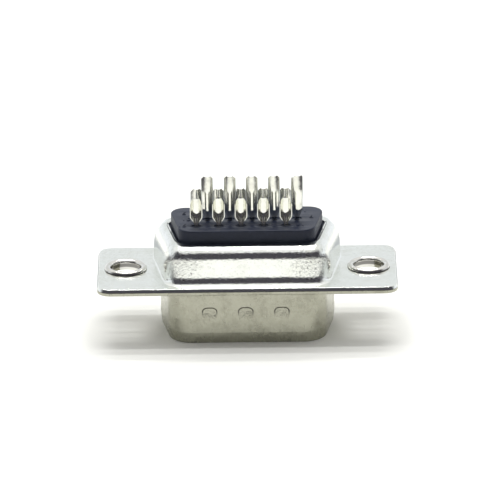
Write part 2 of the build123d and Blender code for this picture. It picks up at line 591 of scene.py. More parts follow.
@dataclass(frozen=True)
class PlatedMetal:
    """A plated sheet: how bright, how smooth, how finely pitted, how worn it is, and where shade is painted
    into it.

    A scale is the number of clouds in a millimetre. Depths, reaches and heights are in millimetres.
    A band is where a pattern starts to count and where it counts in full.
    """

    name: str
    colour: Colour
    tarnish: Colour
    roughness: float
    roughness_spread: float
    grain_scale: float
    grain_depth: float
    dent_scale: float
    dent_depth: float
    scratch_depth: float
    least_roughness: float = 0.04
    tarnish_share: float = 0.5
    cloud_scale: float = 0.55
    cloud_share: float = 0.65
    spot_scale: float = 2.6
    stain_band: Flat = (0.42, 0.68)
    scuff_stretch: Point = (7.0, 0.9, 1.3)
    scuff_turn: Point = (0.2, 0.1, 0.7)
    scuff_band: Flat = (0.55, 0.75)
    scuff_roughness: float = 0.6
    # The dark colour of pits; it is also the shade painted into creases when the switch below is on.
    pits_and_painted_shade: Colour = (0.14, 0.135, 0.12)
    paints_crease_shade: bool = False
    drawn_grain: float = 0.0
    coarse_share: float = 0.8
    drawn_middle: Flat = (6.6, 8.6)
    drawn_reach: Flat = (2.8, 2.4)
    drawn_core: float = 0.2
    pit_band: Flat = (0.57, 0.66)
    pits_drawn: float = 0.8
    pits_anywhere: float = 0.1
    # A belt below a height is painted darker, as shade where little light comes in: its top, depth, soft edge
    # and colour.
    shade_below: float = 0.0
    shade_depth: float = 0.5
    shade_fade: float = 0.1
    belt_shade: Colour = (0.22, 0.215, 0.205)

    def material(self) -> bpy.types.Material:
        """Make the material.

        Returns:
            The material.
        """
        material, paint = new_material(self.name)
        clouds = paint.noise(self.cloud_scale, detail=4.0, rough=0.6)
        spots = paint.noise(self.spot_scale, detail=3.0, rough=0.65)
        mottle = clouds * self.cloud_share + spots * (1.0 - self.cloud_share)
        stained = paint.band(mottle, *self.stain_band)
        streaks = paint.noise(1.0, detail=3.0, rough=0.6, stretch=self.scuff_stretch, turn=self.scuff_turn)
        scuffs = paint.band(streaks, *self.scuff_band)
        colour = paint.blend(stained * self.tarnish_share, self.colour, self.tarnish)
        # Painted shade: the belt low on the piece is darkened, where little light comes in.
        if self.shade_below:
            colour = paint.blend(self._shaded_belt(paint), colour, self.belt_shade)
        gloss = self.roughness + (clouds - 0.5) * self.roughness_spread
        gloss = gloss + scuffs * (self.roughness_spread * self.scuff_roughness)
        grain = paint.noise(self.grain_scale, detail=2.0, rough=0.6) * self.grain_depth
        dents = paint.noise(self.dent_scale, detail=2.0, rough=0.5) * self.dent_depth
        height = grain + dents + scuffs * self.scratch_depth
        if self.drawn_grain:
            drawn = self._drawn(paint)
            coarse = paint.noise(self.grain_scale * self.coarse_share, detail=3.0, rough=0.7)
            height = height + drawn * coarse * self.drawn_grain
            pits = paint.band(paint.noise(self.grain_scale, detail=2.0, rough=0.55), *self.pit_band)
            pits = pits * (drawn * self.pits_drawn + self.pits_anywhere)
            colour = paint.blend(pits, colour, self.pits_and_painted_shade)
        # Painted shade: where the mesh value says so, the colour darkens, standing in for the shade in the
        # dimples' crevices.
        if self.paints_crease_shade:
            shade_mask = paint.node("ShaderNodeAttribute", {"attribute_name": CREASE_SHADE}).outputs["Fac"]
            colour = paint.blend(paint.signal(shade_mask), colour, self.pits_and_painted_shade)
        sockets = {
            "Base Color": colour,
            "Metallic": 1.0,
            "Roughness": gloss.most(self.least_roughness),
            "Normal": paint.bump(height),
        }
        surface(paint, sockets)
        return material

    def _shaded_belt(self, paint: Paint) -> Signal:
        """Find the belt below a height that is painted darker, as shade where little light comes in.

        Args:
            paint: the material's tree.

        Returns:
            The share, from 0 to 1.
        """
        height = paint.axes(paint.place())[2]
        bottom = self.shade_below - self.shade_depth
        low = paint.band(height, bottom, bottom + self.shade_fade)
        return low * (1.0 - paint.band(height, self.shade_below - self.shade_fade, self.shade_below))

    def _drawn(self, paint: Paint) -> Signal:
        """Find where the sheet was drawn hard, round the corners of the wall.

        Args:
            paint: the material's tree.

        Returns:
            The share, from 0 to 1.
        """
        x, _, z = paint.axes(paint.place())
        aside = (x.most(x * -1.0) - self.drawn_middle[0]) * (1 / self.drawn_reach[0])
        above = (z - self.drawn_middle[1]) * (1 / self.drawn_reach[1])
        apart = (aside * aside + above * above).root()
        return 1.0 - paint.band(apart, self.drawn_core, 1.0)


@dataclass(frozen=True)
class MouldedPlastic:
    """Black filled plastic with a fine moulded grain."""

    name: str
    colour: Colour
    dusty: Colour
    roughness: float
    roughness_spread: float = 0.18
    cloud_scale: float = 0.8
    cloud_share: float = 0.6
    grain_scale: float = 14.0
    wave_scale: float = 3.0
    relief: float = 0.004
    dust_band: Flat = (0.45, 0.7)
    ior: float = 1.42

    def material(self) -> bpy.types.Material:
        """Make the material.

        Returns:
            The material.
        """
        material, paint = new_material(self.name)
        clouds = paint.noise(self.cloud_scale, detail=3.0, rough=0.6)
        grain = paint.noise(self.grain_scale, detail=2.0, rough=0.6)
        dust = paint.band(clouds * self.cloud_share + grain * (1.0 - self.cloud_share), *self.dust_band)
        sockets = {
            "Base Color": paint.blend(dust, self.colour, self.dusty),
            "Roughness": self.roughness + (clouds - 0.5) * self.roughness_spread,
            "Normal": paint.bump(grain * self.relief + paint.noise(self.wave_scale) * self.relief),
            "IOR": self.ior,
        }
        surface(paint, sockets)
        return material


REAR_PLATING = PlatedMetal(
    name="bright_zinc_plating",
    colour=(0.86, 0.875, 0.84),
    tarnish=(0.72, 0.73, 0.66),
    roughness=0.12,
    roughness_spread=0.10,
    grain_scale=5.0,
    grain_depth=0.02,
    dent_scale=1.6,
    dent_depth=0.014,
    scratch_depth=0.0012,
    drawn_grain=0.05,
)
PLUG_PLATING = PlatedMetal(
    name="satin_nickel_plating",
    colour=(0.425, 0.42, 0.345),
    tarnish=(0.30, 0.295, 0.235),
    roughness=0.26,
    roughness_spread=0.12,
    grain_scale=5.0,
    grain_depth=0.013,
    dent_scale=1.1,
    dent_depth=0.04,
    scratch_depth=0.002,
    tarnish_share=0.65,
    # Shade is painted into the crevices of the dimples.
    paints_crease_shade=True,
)
EYELET_PLATING = PlatedMetal(
    name="eyelet_plating",
    colour=(0.74, 0.73, 0.69),
    tarnish=(0.60, 0.585, 0.54),
    roughness=0.14,
    roughness_spread=0.08,
    grain_scale=4.5,
    grain_depth=0.006,
    dent_scale=1.5,
    dent_depth=0.02,
    scratch_depth=0.002,
    # The bore below the flange is painted darker, as shade inside the hole.
    shade_below=6.6,
)
CONTACT_TIN = PlatedMetal(
    name="tinned_contact",
    colour=(0.86, 0.86, 0.79),
    tarnish=(0.72, 0.71, 0.64),
    roughness=0.12,
    roughness_spread=0.06,
    grain_scale=3.0,
    grain_depth=0.0012,
    dent_scale=1.2,
    dent_depth=0.008,
    scratch_depth=0.0005,
)
BLACK_MOULDING = MouldedPlastic(
    name="black_moulding",
    colour=(0.010, 0.0150, 0.034),
    dusty=(0.019, 0.025, 0.050),
    roughness=0.42,
)


# The shells


@dataclass
class Flange:
    """One sheet of the flange, with its two eyelet holes."""

    hole_spacing: float = 24.99
    hole_radius: float = 1.855
    outline: FlangeOutline = field(default_factory=FlangeOutline)

    def close(
        self,
        skin: Skin,
        outer_foot: Sequence[int],
        inner_foot: Sequence[int],
        outer_height: float,
        inner_height: float,
        edge: Sequence[Flat],
    ) -> None:
        """Fill the sheet between the feet of the drawn wall and the flange's edge.

        Args:
            skin: the shell's skin.
            outer_foot: the ring where the shell's outside meets the flange.
            inner_foot: the ring where its inside does.
            outer_height: the height of the flange's outside.
            inner_height: the height of the face against the other sheet.
            edge: the edge's rings, as outset and height, from the outside to the inside.
        """
        rims = [skin.ring(self.outline.ring(outset, height)) for outset, height in edge]
        skin.stack(rims)
        walls = []
        for x in (-self.hole_spacing / 2, self.hole_spacing / 2):
            outer_hole = skin.ring(circle(x, 0, self.hole_radius, outer_height))
            inner_hole = skin.ring(circle(x, 0, self.hole_radius, inner_height))
            skin.bridge(outer_hole, inner_hole)
            walls.append((outer_hole, inner_hole))
        skin.plate(rims[0], [outer_foot, *[outer for outer, _ in walls]])
        skin.plate(rims[-1], [inner_foot, *[inner for _, inner in walls]])


def d_rings(skin: Skin, outline: DOutline, places: Iterable[Flat]) -> list[list[int]]:
    """Add rings that follow a D outline.

    Args:
        skin: the skin that gets them.
        outline: the D.
        places: how far outside the D each ring lies, and its height.

    Returns:
        The rings.
    """
    walked = outline.ring()
    rings = []
    for outset, height in places:
        points = [(x + dx * outset, y + dy * outset, height) for (x, y), (dx, dy) in walked]
        rings.append(skin.ring(points))
    return rings


@dataclass
class RearShell:
    """The bright rear shell: flange sheet, wall that bends softly out of it, and rolled shoulder.

    A bend or a shoulder is a reach and a height, one for the long sides and one for the two ends.
    """

    width: float = 19.19
    height: float = 10.54
    corner: float = 2.4
    sheet: float = 0.35
    seam: float = 6.19
    shoulder_top: float = 10.54
    side_shoulder: Flat = (1.12, 1.25)
    end_shoulder: Flat = (1.42, 2.4)
    opening_width: float = 16.25
    opening_height: float = 7.26
    opening_corner: float = 1.58
    side_bend: Flat = (0.68, 1.04)
    end_bend: Flat = (0.22, 0.22)
    end_to_side: Flat = (0.25, 0.995)
    bend_steps: int = 14
    arc_steps: int = 22
    wall_shares: tuple[float, ...] = (0.35, 0.7, 0.97)
    guard: float = 0.04
    edge_break: float = 0.05
    break_share: float = 0.3

    def _between(self, end: Flat, side: Flat, dy: float) -> Flat:
        """Give the reach and the height of a bend on the side that looks this way.

        Args:
            end: its reach and height at the two ends.
            side: its reach and height on the long sides.
            dy: the Y of the direction in which the wall looks.

        Returns:
            The reach and the height.
        """
        share = ease(*self.end_to_side, abs(dy))
        return end[0] + (side[0] - end[0]) * share, end[1] + (side[1] - end[1]) * share

    def _wall_rings(self, skin: Skin, outline: DOutline, depth: float) -> list[list[int]]:
        """Make the rings of one face of the sheet, from the flange up to the opening.

        Args:
            skin: the shell's skin.
            outline: the D of the shell's outside.
            depth: how far the face lies inside the outside.

        Returns:
            The rings.
        """
        top = self.seam + self.sheet
        walked = outline.ring()
        bends = [self._between(self.end_bend, self.side_bend, dy) for _, (_, dy) in walked]
        rolls = [self._between(self.end_shoulder, self.side_shoulder, dy) for _, (_, dy) in walked]
        rows = [[(reach + self.guard, top - depth) for reach, _ in bends]]
        for angle in quarter(self.bend_steps):
            row = []
            for reach, rise in bends:
                outset = reach - (reach + depth) * math.sin(angle)
                row.append((outset, top + rise - (rise + depth) * math.cos(angle)))
            rows.append(row)
        for share in self.wall_shares:
            row = []
            for (_, rise), (_, drop) in zip(bends, rolls):
                low, high = top + rise, self.shoulder_top - drop
                row.append((-depth, low + (high - low) * share))
            rows.append(row)
        for angle in quarter(self.bend_steps):
            row = []
            for reach, rise in rolls:
                outset = -reach + (reach - depth) * math.cos(angle)
                row.append((outset, self.shoulder_top - rise + (rise - depth) * math.sin(angle)))
            rows.append(row)
        rings = []
        for row in rows:
            points = []
            for ((x, y), (dx, dy)), (outset, height) in zip(walked, row):
                points.append((x + dx * outset, y + dy * outset, height))
            rings.append(skin.ring(points))
        return rings

    def build(self, material: bpy.types.Material) -> bpy.types.Object:
        """Build the shell.

        Args:
            material: its finish.

        Returns:
            The piece.
        """
        skin = Skin()
        outline = DOutline(self.width, self.height, self.corner, arc_steps=self.arc_steps)
        size = (self.opening_width, self.opening_height, self.opening_corner)
        opening = DOutline(*size, arc_steps=self.arc_steps)
        outside = self._wall_rings(skin, outline, 0.0)
        inside = self._wall_rings(skin, outline, self.sheet)
        broken = self.edge_break * self.break_share
        lip = [
            (self.edge_break * 2, self.shoulder_top),
            (self.edge_break, self.shoulder_top),
            (broken, self.shoulder_top - broken),
            (0.0, self.shoulder_top - self.edge_break),
            (0.0, self.shoulder_top - self.sheet),
        ]
        skin.stack([*outside, *d_rings(skin, opening, lip), *reversed(inside)])
        top = self.seam + self.sheet
        # The edge is rolled off at the outside: outset and height of each ring.
        edge = [
            (-0.24, top),
            (-0.18, top),
            (-0.15, top - 0.012),
            (-0.128, top - 0.04),
            (-0.10, top - 0.10),
            (-0.05, top - 0.20),
            (-0.012, self.seam + 0.06),
            (0.0, self.seam + 0.03),
            (-0.03, self.seam),
        ]
        Flange().close(skin, outside[0], inside[0], top, self.seam, edge)
        piece = add_piece("rear_shell_skin", skin.mesh("rear_shell_skin"), material)
        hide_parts("rear_shell")
        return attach(piece, BODY)


@dataclass
class PlugShell:
    """The satin plug shell: flange sheet, D tube that leans in at the mouth, and pressed dimples."""

    width: float = 17.25
    height: float = 8.6
    corner: float = 2.25
    sheet: float = 0.35
    depth: float = 5.84
    bend: float = 0.15
    band_height: float = 1.15
    band_inset: float = 0.12
    band_ridge: float = 0.005
    ridge_reach: float = 0.07
    mouth_break: float = 0.1
    lip_break: float = 0.04
    foot_guard: float = 0.05
    seam_guard: float = 0.04
    dimple_places: tuple[float, ...] = (-3.9, -0.2, 3.5)
    dimple_width: float = 1.65
    dimple_height: float = 1.5
    dimple_top: float = 3.93
    dimple_depth: float = 0.12
    dimple_edge: float = 0.16
    dimple_side_edge: float = 0.2
    dimple_arch: float = 0.6
    # How dark the shade painted into the dimples' steep edges is, and the slopes over which it sets in.
    dimple_shade: float = 0.92
    crease_shade_band: Flat = (0.25, 0.8)
    side_look: float = 0.999
    wall_steps: int = 110
    long_steps: int = 300
    arc_steps: int = 14
    bend_steps: int = 6
    mouth_steps: int = 4
    seam_steps: int = 8

    def _dimple(self, x: float, z: float) -> float:
        """Give how deep the wall is pressed in.

        Args:
            x: the place along the wall.
            z: the height on the wall.

        Returns:
            The depth.
        """
        deepest = 0.0
        for middle in self.dimple_places:
            aside = abs(x - middle)
            past = max(0.0, aside - (self.dimple_width / 2 - self.dimple_arch))
            if past >= self.dimple_arch:
                continue
            arch_top = self.dimple_top - self.dimple_arch + math.sqrt(self.dimple_arch**2 - past**2)
            below = (arch_top - z) / self.dimple_height
            fade = 1.0 - ease(0.0, 1.0, below)
            side_edge = ease(0.0, self.dimple_side_edge, self.dimple_arch - past)
            edge = ease(0.0, self.dimple_edge, arch_top - z) * side_edge
            deepest = max(deepest, self.dimple_depth * fade * edge)
        return deepest

    def _paint_crease_shade(self, mesh: bpy.types.Mesh) -> None:
        """Paint shade into the steep edges of the dimples, where the crevices would lie in shade.

        Args:
            mesh: the shell's mesh.
        """
        step = self.dimple_edge / 2
        wall = self.height / 2 + self.sheet / 2
        marks = mesh.attributes.new(CREASE_SHADE, "FLOAT", "POINT")
        for vertex, mark in zip(mesh.vertices, marks.data):
            x, y, z = vertex.co / MM
            if abs(y) < wall or not self.mouth_break < z < self.dimple_top + step:
                continue
            across = self._dimple(x - step, z) - self._dimple(x + step, z)
            along = self._dimple(x, z - step) - self._dimple(x, z + step)
            slope = math.hypot(across, along) / self.dimple_depth
            mark.value = ease(*self.crease_shade_band, slope) * self.dimple_shade

    def _lean(self, height: float) -> float:
        """Give how far the band at the mouth leans in, less the ridge where it starts.

        Args:
            height: the height on the wall.

        Returns:
            The depth.
        """
        aside = (height - self.band_height) / self.ridge_reach
        ridge = self.band_ridge * math.exp(-aside * aside)
        return self.band_inset * (1.0 - min(1.0, height / self.band_height)) - ridge

    def _wall_rings(self, skin: Skin, outline: DOutline) -> list[list[int]]:
        """Make the rings of the outer wall, from its bend down to the mouth.

        Args:
            skin: the shell's skin.
            outline: the D of the shell's inside.

        Returns:
            The rings.
        """
        top = self.depth - self.bend
        walked = outline.ring()
        rings = []
        for i in range(1, self.wall_steps + 1):
            height = top + (self.mouth_break - top) * i / self.wall_steps
            reach = self.sheet - self._lean(height)
            points = []
            for (x, y), (dx, dy) in walked:
                on_side = abs(dy) > self.side_look
                outset = reach - (self._dimple(x if y < 0 else -x, height) if on_side else 0.0)
                points.append((x + dx * outset, y + dy * outset, height))
            rings.append(skin.ring(points))
        return rings

    def build(self, material: bpy.types.Material) -> bpy.types.Object:
        """Build the shell.

        Args:
            material: its finish.

        Returns:
            The piece.
        """
        skin = Skin()
        steps = {"long_steps": self.long_steps, "arc_steps": self.arc_steps}
        outline = DOutline(self.width, self.height, self.corner, **steps)
        flange = self.depth
        seam = flange + self.sheet
        foot = [(self.sheet + self.bend + self.foot_guard, flange)]
        for angle in quarter(self.bend_steps):
            reach = self.sheet + self.bend * (1 - math.sin(angle))
            foot.append((reach, flange - self.bend * (1 - math.cos(angle))))
        outside = d_rings(skin, outline, foot) + self._wall_rings(skin, outline)
        mouth = []
        for angle in quarter(self.mouth_steps, 1):
            reach = self.sheet - self.band_inset - self.mouth_break * (1 - math.cos(angle))
            mouth.append((reach, self.mouth_break * (1 - math.sin(angle))))
        mouth.append((self.lip_break - self.band_inset, 0.0))
        mouth.append((-self.band_inset, self.lip_break))
        mouth.append((0.0, self.band_height))
        radius = self.bend + self.sheet
        for angle in quarter(self.seam_steps):
            mouth.append((radius * (1 - math.cos(angle)), seam - radius * (1 - math.sin(angle))))
        mouth.append((radius + self.seam_guard, seam))
        inside = d_rings(skin, outline, mouth)
        skin.stack(outside + inside)
        # The edge is rolled off at the outside: outset and height of each ring.
        edge = [
            (-0.16, flange),
            (-0.10, flange),
            (-0.05, flange + 0.02),
            (-0.02, flange + 0.06),
            (0.0, flange + 0.12),
            (-0.01, seam - 0.03),
            (-0.04, seam),
        ]
        Flange().close(skin, outside[0], inside[-1], flange, seam, edge)
        mesh = skin.mesh("plug_shell_skin")
        self._paint_crease_shade(mesh)
        piece = add_piece("plug_shell_skin", mesh, material)
        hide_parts("plug_shell")
        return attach(piece, BODY)


# The insulator


@dataclass
class RearInsulator:
    """The black block behind the pins, with the boss that stands through the rear shell."""

    block_width: float = 18.39
    block_height: float = 9.74
    block_corner: float = 2.0
    boss_width: float = 15.59
    boss_height: float = 7.10
    boss_corner: float = 1.5
    bottom: float = 8.19
    shelf: float = 10.19
    face: float = 11.87
    chamfer: float = 0.77
    way_floor: float = 11.77
    way_radius: float = 0.5
    way_edge: tuple[Flat, ...] = ((0.03, 0.0), (0.01, 0.01), (0.0, 0.03))
    way_steps: int = 36
    edge_radius: float = 0.12
    edge_steps: int = 6
    guard: float = 0.03
    numerals: tuple[tuple[str, float, float], ...] = (
        ("5", -6.42, 1.62),
        ("10", -6.2, -0.1),
        ("15", -6.62, -1.95),
        ("1", 6.0, 2.12),
        ("6", 6.62, 0.35),
        ("11", 5.5, -1.98),
    )
    numeral_height: float = 0.98
    numeral_relief: float = 0.05

    def build(self, places: Sequence[Flat], material: bpy.types.Material) -> bpy.types.Object:
        """Build the block and the boss with a way for each contact.

        Args:
            places: where each contact stands.
            material: its finish.

        Returns:
            The piece.
        """
        skin = Skin()
        block = DOutline(self.block_width, self.block_height, self.block_corner)
        boss = DOutline(self.boss_width, self.boss_height, self.boss_corner)
        wide = [(0.0, self.bottom), (0.0, self.shelf - self.chamfer), (-self.chamfer, self.shelf)]
        edge = [(0.0, self.shelf), (0.0, self.face - self.edge_radius - self.guard)]
        for angle in quarter(self.edge_steps):
            outset = -self.edge_radius * (1 - math.cos(angle))
            edge.append((outset, self.face - self.edge_radius * (1 - math.sin(angle))))
        edge.append((-self.edge_radius - self.guard, self.face))
        rings = d_rings(skin, block, wide) + d_rings(skin, boss, edge)
        skin.stack(rings)
        skin.plate(rings[0])
        way = [(self.way_radius + outset, self.face - depth) for outset, depth in self.way_edge]
        way.append((self.way_radius, self.way_floor))
        mouths = []
        for x, y in places:
            rounds = [skin.ring(circle(x, y, radius, height, self.way_steps)) for radius, height in way]
            skin.stack(rounds)
            skin.plate(rounds[-1])
            mouths.append(rounds[0])
        skin.plate(rings[-1], mouths)
        mesh = skin.mesh("rear_insulator_skin", sharp=40.0)
        piece = add_piece("rear_insulator_skin", mesh, material)
        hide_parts("rear_insulator")
        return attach(piece, BODY)

    def mark(self, material: bpy.types.Material) -> list[bpy.types.Object]:
        """Raise the plain pin numbers at the ends of the rows.

        Args:
            material: their finish.

        Returns:
            The pieces.
        """
        pieces = []
        for text, x, y in self.numerals:
            curve = bpy.data.curves.new(f"numeral_{text}", "FONT")
            curve.body = text
            curve.size = self.numeral_height * MM
            curve.extrude = self.numeral_relief * MM
            curve.align_x = "CENTER"
            curve.align_y = "CENTER"
            maker = put(f"numeral_maker_{text}", curve)
            mesh = bpy.data.meshes.new_from_object(maker.evaluated_get(bpy.context.evaluated_depsgraph_get()))
            bpy.data.objects.remove(maker)
            for vertex in mesh.vertices:
                vertex.co += Vector((x, y, self.face)) * MM
            piece = add_piece(f"numeral_{text}", mesh, material)
            pieces.append(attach(piece, BODY))
        return pieces


# Contacts and eyelets


@dataclass(frozen=True)
class Tail:
    """The part of a contact above the insulator."""

    length: float
    neck_top: float
    flare_top: float
    stem_radius: float
    cup_height: float
    taper_height: float
    rim_drop: float


@dataclass
class Contact:
    """One contact: a round pin with a barrel, and the tail with its solder cup."""

    pin_radius: float = 0.38
    pin_bottom: float = 0.6
    tip_radius: float = 0.3
    parting: float = 8.19
    barrel_radius: float = 0.75
    barrel_top: float = 11.07
    face: float = 11.87
    neck_radius: float = 0.26
    cup_radius: float = 0.63
    sheet: float = 0.07
    lip: float = 0.06
    foot: float = -0.1
    rim_half: float = 0.33
    rim_dip: float = 0.08
    rim_curve: float = 1.1
    lobe_rise: float = 0.32
    notch_rise: float = 0.16
    neck_notch: float = 0.1
    flare_edge: float = 0.04
    arc_steps: int = 40
    taper_steps: int = 8
    rim_steps: int = 5
    tip_steps: int = 6
    pin_steps: int = 32

    def pin(self) -> bpy.types.Mesh:
        """Turn the pin and its barrel, from the frame's floor up.

        Returns:
            The mesh.
        """
        flat = self.pin_radius - self.tip_radius
        profile: list[Flat] = [(0.0, self.pin_bottom)]
        for angle in quarter(self.tip_steps):
            rise = self.tip_radius * (1 - math.cos(angle))
            profile.append((flat + self.tip_radius * math.sin(angle), self.pin_bottom + rise))
        profile += [
            (self.pin_radius, self.parting),
            (self.barrel_radius, self.parting),
            (self.barrel_radius, self.barrel_top),
            (0.0, self.barrel_top),
        ]
        return lathe(profile, self.pin_steps).mesh("contact_pin")

    def _section(self, radius: float) -> list[Flat]:
        """Draw the U of the tail, first its outside and then its inside.

        Args:
            radius: the radius of the outside.

        Returns:
            The points.
        """
        angles = [math.pi * (1 - i / self.arc_steps) for i in range(self.arc_steps + 1)]
        faces = []
        for reach in (radius, radius - self.sheet):
            arc = [(reach * math.cos(a), reach * math.sin(a)) for a in angles]
            faces.append([(-reach, -self.lip), *arc, (reach, -self.lip)])
        outer, inner = faces
        return outer + inner[::-1]

    def _rim(self, x: float, top: float, drop: float) -> float:
        """Give the height of the rim.

        Args:
            x: the place across the cup.
            top: the height of the rim's two horns.
            drop: how far the lips end below the horns.

        Returns:
            The height.
        """
        aside = abs(x)
        if aside <= self.rim_half:
            return top - self.rim_dip * (1 - (aside / self.rim_half) ** 2)
        share = (aside - self.rim_half) / (self.cup_radius - self.rim_half)
        return top - drop * share**self.rim_curve

    def tail(self, tail: Tail) -> bpy.types.Mesh:
        """Loft a tail that stands on the barrel's top, which is its origin, and starts a little below.

        Args:
            tail: its sizes.

        Returns:
            The mesh.
        """
        sink = self.face - self.barrel_top
        top = sink + tail.length
        cup_bottom = top - tail.cup_height
        skin = Skin()
        rings = [skin.ring((x, y, self.foot) for x, y in self._section(self.neck_radius))]
        for i in range(self.taper_steps + 1):
            share = i / self.taper_steps
            radius = self.neck_radius + (tail.stem_radius - self.neck_radius) * share
            points = []
            for x, y in self._section(radius):
                turn = math.atan2(max(y, 0.0), abs(x))
                lobe, middle = math.sin(2 * turn) ** 2, math.sin(turn) ** 4
                low = sink + tail.neck_top - self.neck_notch * middle
                high = sink + tail.flare_top + self.lobe_rise * lobe + self.notch_rise * middle
                points.append((x, y, low + (high - low) * share))
            rings.append(skin.ring(points))
        rings.append(skin.ring((x, y, z + self.flare_edge) for x, y, z in points))
        taper = cup_bottom - tail.taper_height
        for i in range(self.taper_steps + 1):
            share = i / self.taper_steps
            radius = tail.stem_radius + (self.cup_radius - tail.stem_radius) * ease(0, 1, share)
            height = taper + tail.taper_height * share
            rings.append(skin.ring((x, y, height) for x, y in self._section(radius)))
        for i in range(1, self.rim_steps + 1):
            points = []
            for x, y in self._section(self.cup_radius):
                rise = self._rim(x, top, tail.rim_drop) - cup_bottom
                points.append((x, y, cup_bottom + rise * i / self.rim_steps))
            rings.append(skin.ring(points))
        skin.stack(rings)
        half = len(rings[0]) // 2
        for ring in (rings[0], rings[-1]):
            inner = ring[half:][::-1]
            for i in range(half - 1):
                skin.faces.append((ring[i], ring[i + 1], inner[i + 1], inner[i]))
        return skin.mesh("contact_tail", sharp=30.0)


class Setter:
    """Sets one or two items out on points, each turned by its own angle, with a tree of Geometry Nodes."""

    lean_draws = (0, 7)  # What the seed of each of the two leans adds to the Seed input.

    def __init__(self) -> None:
        """Build the tree."""
        self.tree = bpy.data.node_groups.new("set_out_on_points", "GeometryNodeTree")
        face = self.tree.interface
        face.new_socket("Geometry", in_out="INPUT", socket_type="NodeSocketGeometry")
        self.inputs = {}
        for name, kind in (
            ("Leaning Item", "Object"),
            ("Upright Item", "Object"),
            ("Finish", "Material"),
            ("Item Height", "Float"),
            ("Most Lean", "Float"),
            ("Seed", "Int"),
        ):
            socket = face.new_socket(name, in_out="INPUT", socket_type=f"NodeSocket{kind}")
            self.inputs[name] = socket.identifier
        face.new_socket("Geometry", in_out="OUTPUT", socket_type="NodeSocketGeometry")
        net = Paint(self.tree)
        start = net.node("NodeGroupInput").outputs
        named = net.node("GeometryNodeInputNamedAttribute", {"data_type": "FLOAT"}, {"Name": "turn"})
        turn = named.outputs[0]
        most = net.signal(start["Most Lean"])
        least = most * -1.0
        leans = []
        for shift in self.lean_draws:
            seed = net.signal(start["Seed"]) + float(shift)
            sockets = {2: least, 3: most, "Seed": seed}
            lean = net.node("FunctionNodeRandomValue", {"data_type": "FLOAT"}, sockets)
            leans.append(lean.outputs[1])
        tilt = net.node("ShaderNodeCombineXYZ", {}, {0: leans[0], 1: leans[1], 2: turn}).outputs[0]
        upright = net.node("ShaderNodeCombineXYZ", {}, {2: turn}).outputs[0]
        lift = net.node("ShaderNodeCombineXYZ", {}, {2: start["Item Height"]}).outputs[0]
        raised = net.node("GeometryNodeSetPosition", {}, {"Geometry": start[0], "Offset": lift}).outputs[0]
        parts = []
        for name, points, angles in (("Leaning Item", raised, tilt), ("Upright Item", start[0], upright)):
            info = net.node("GeometryNodeObjectInfo", {}, {"Object": start[name]})
            sockets = {"Points": points, "Instance": info.outputs["Geometry"], "Rotation": angles}
            parts.append(net.node("GeometryNodeInstanceOnPoints", {}, sockets).outputs[0])
        joined = net.node("GeometryNodeJoinGeometry")
        for part in reversed(parts):
            self.tree.links.new(part, joined.inputs[0])
        real = net.node("GeometryNodeRealizeInstances", {}, {0: joined.outputs[0]})
        sockets = {"Geometry": real.outputs[0], "Material": start["Finish"]}
        dressed = net.node("GeometryNodeSetMaterial", {}, sockets)
        net.node("NodeGroupOutput", {}, {0: dressed.outputs[0]})

    def run(self, name: str, points: Sequence[Point], values: dict) -> bpy.types.Object:
        """Set the items out and keep the result as a plain piece.

        Args:
            name: the piece's name.
            points: X, Y and turn of each item.
            values: the tree's inputs, by name.

        Returns:
            The piece, not yet riding on a body.
        """
        base = bpy.data.meshes.new(f"{name}_points")
        base.from_pydata([(x * MM, y * MM, 0.0) for x, y, _ in points], [], [])
        turns = base.attributes.new("turn", "FLOAT", "POINT")
        turns.data.foreach_set("value", [turn for _, _, turn in points])
        maker = put(f"{name}_maker", base)
        modifier = maker.modifiers.new("set_out", "NODES")
        modifier.node_group = self.tree
        for key, value in values.items():
            modifier[self.inputs[key]] = value
        maker.update_tag()
        bpy.context.view_layer.update()
        evaluated = maker.evaluated_get(bpy.context.evaluated_depsgraph_get())
        mesh = bpy.data.meshes.new_from_object(evaluated)
        mesh.name = name
        maker.modifiers.clear()
        bpy.data.objects.remove(maker)
        return add_piece(name, mesh, values["Finish"])


def item(name: str, mesh: bpy.types.Mesh) -> bpy.types.Object:
    """Hold a mesh for the setter, out of the picture.

    Args:
        name: the holder's name.
        mesh: the item's mesh.

    Returns:
        The holder.
    """
    holder = put(name, mesh)
    holder.hide_render = True
    return holder


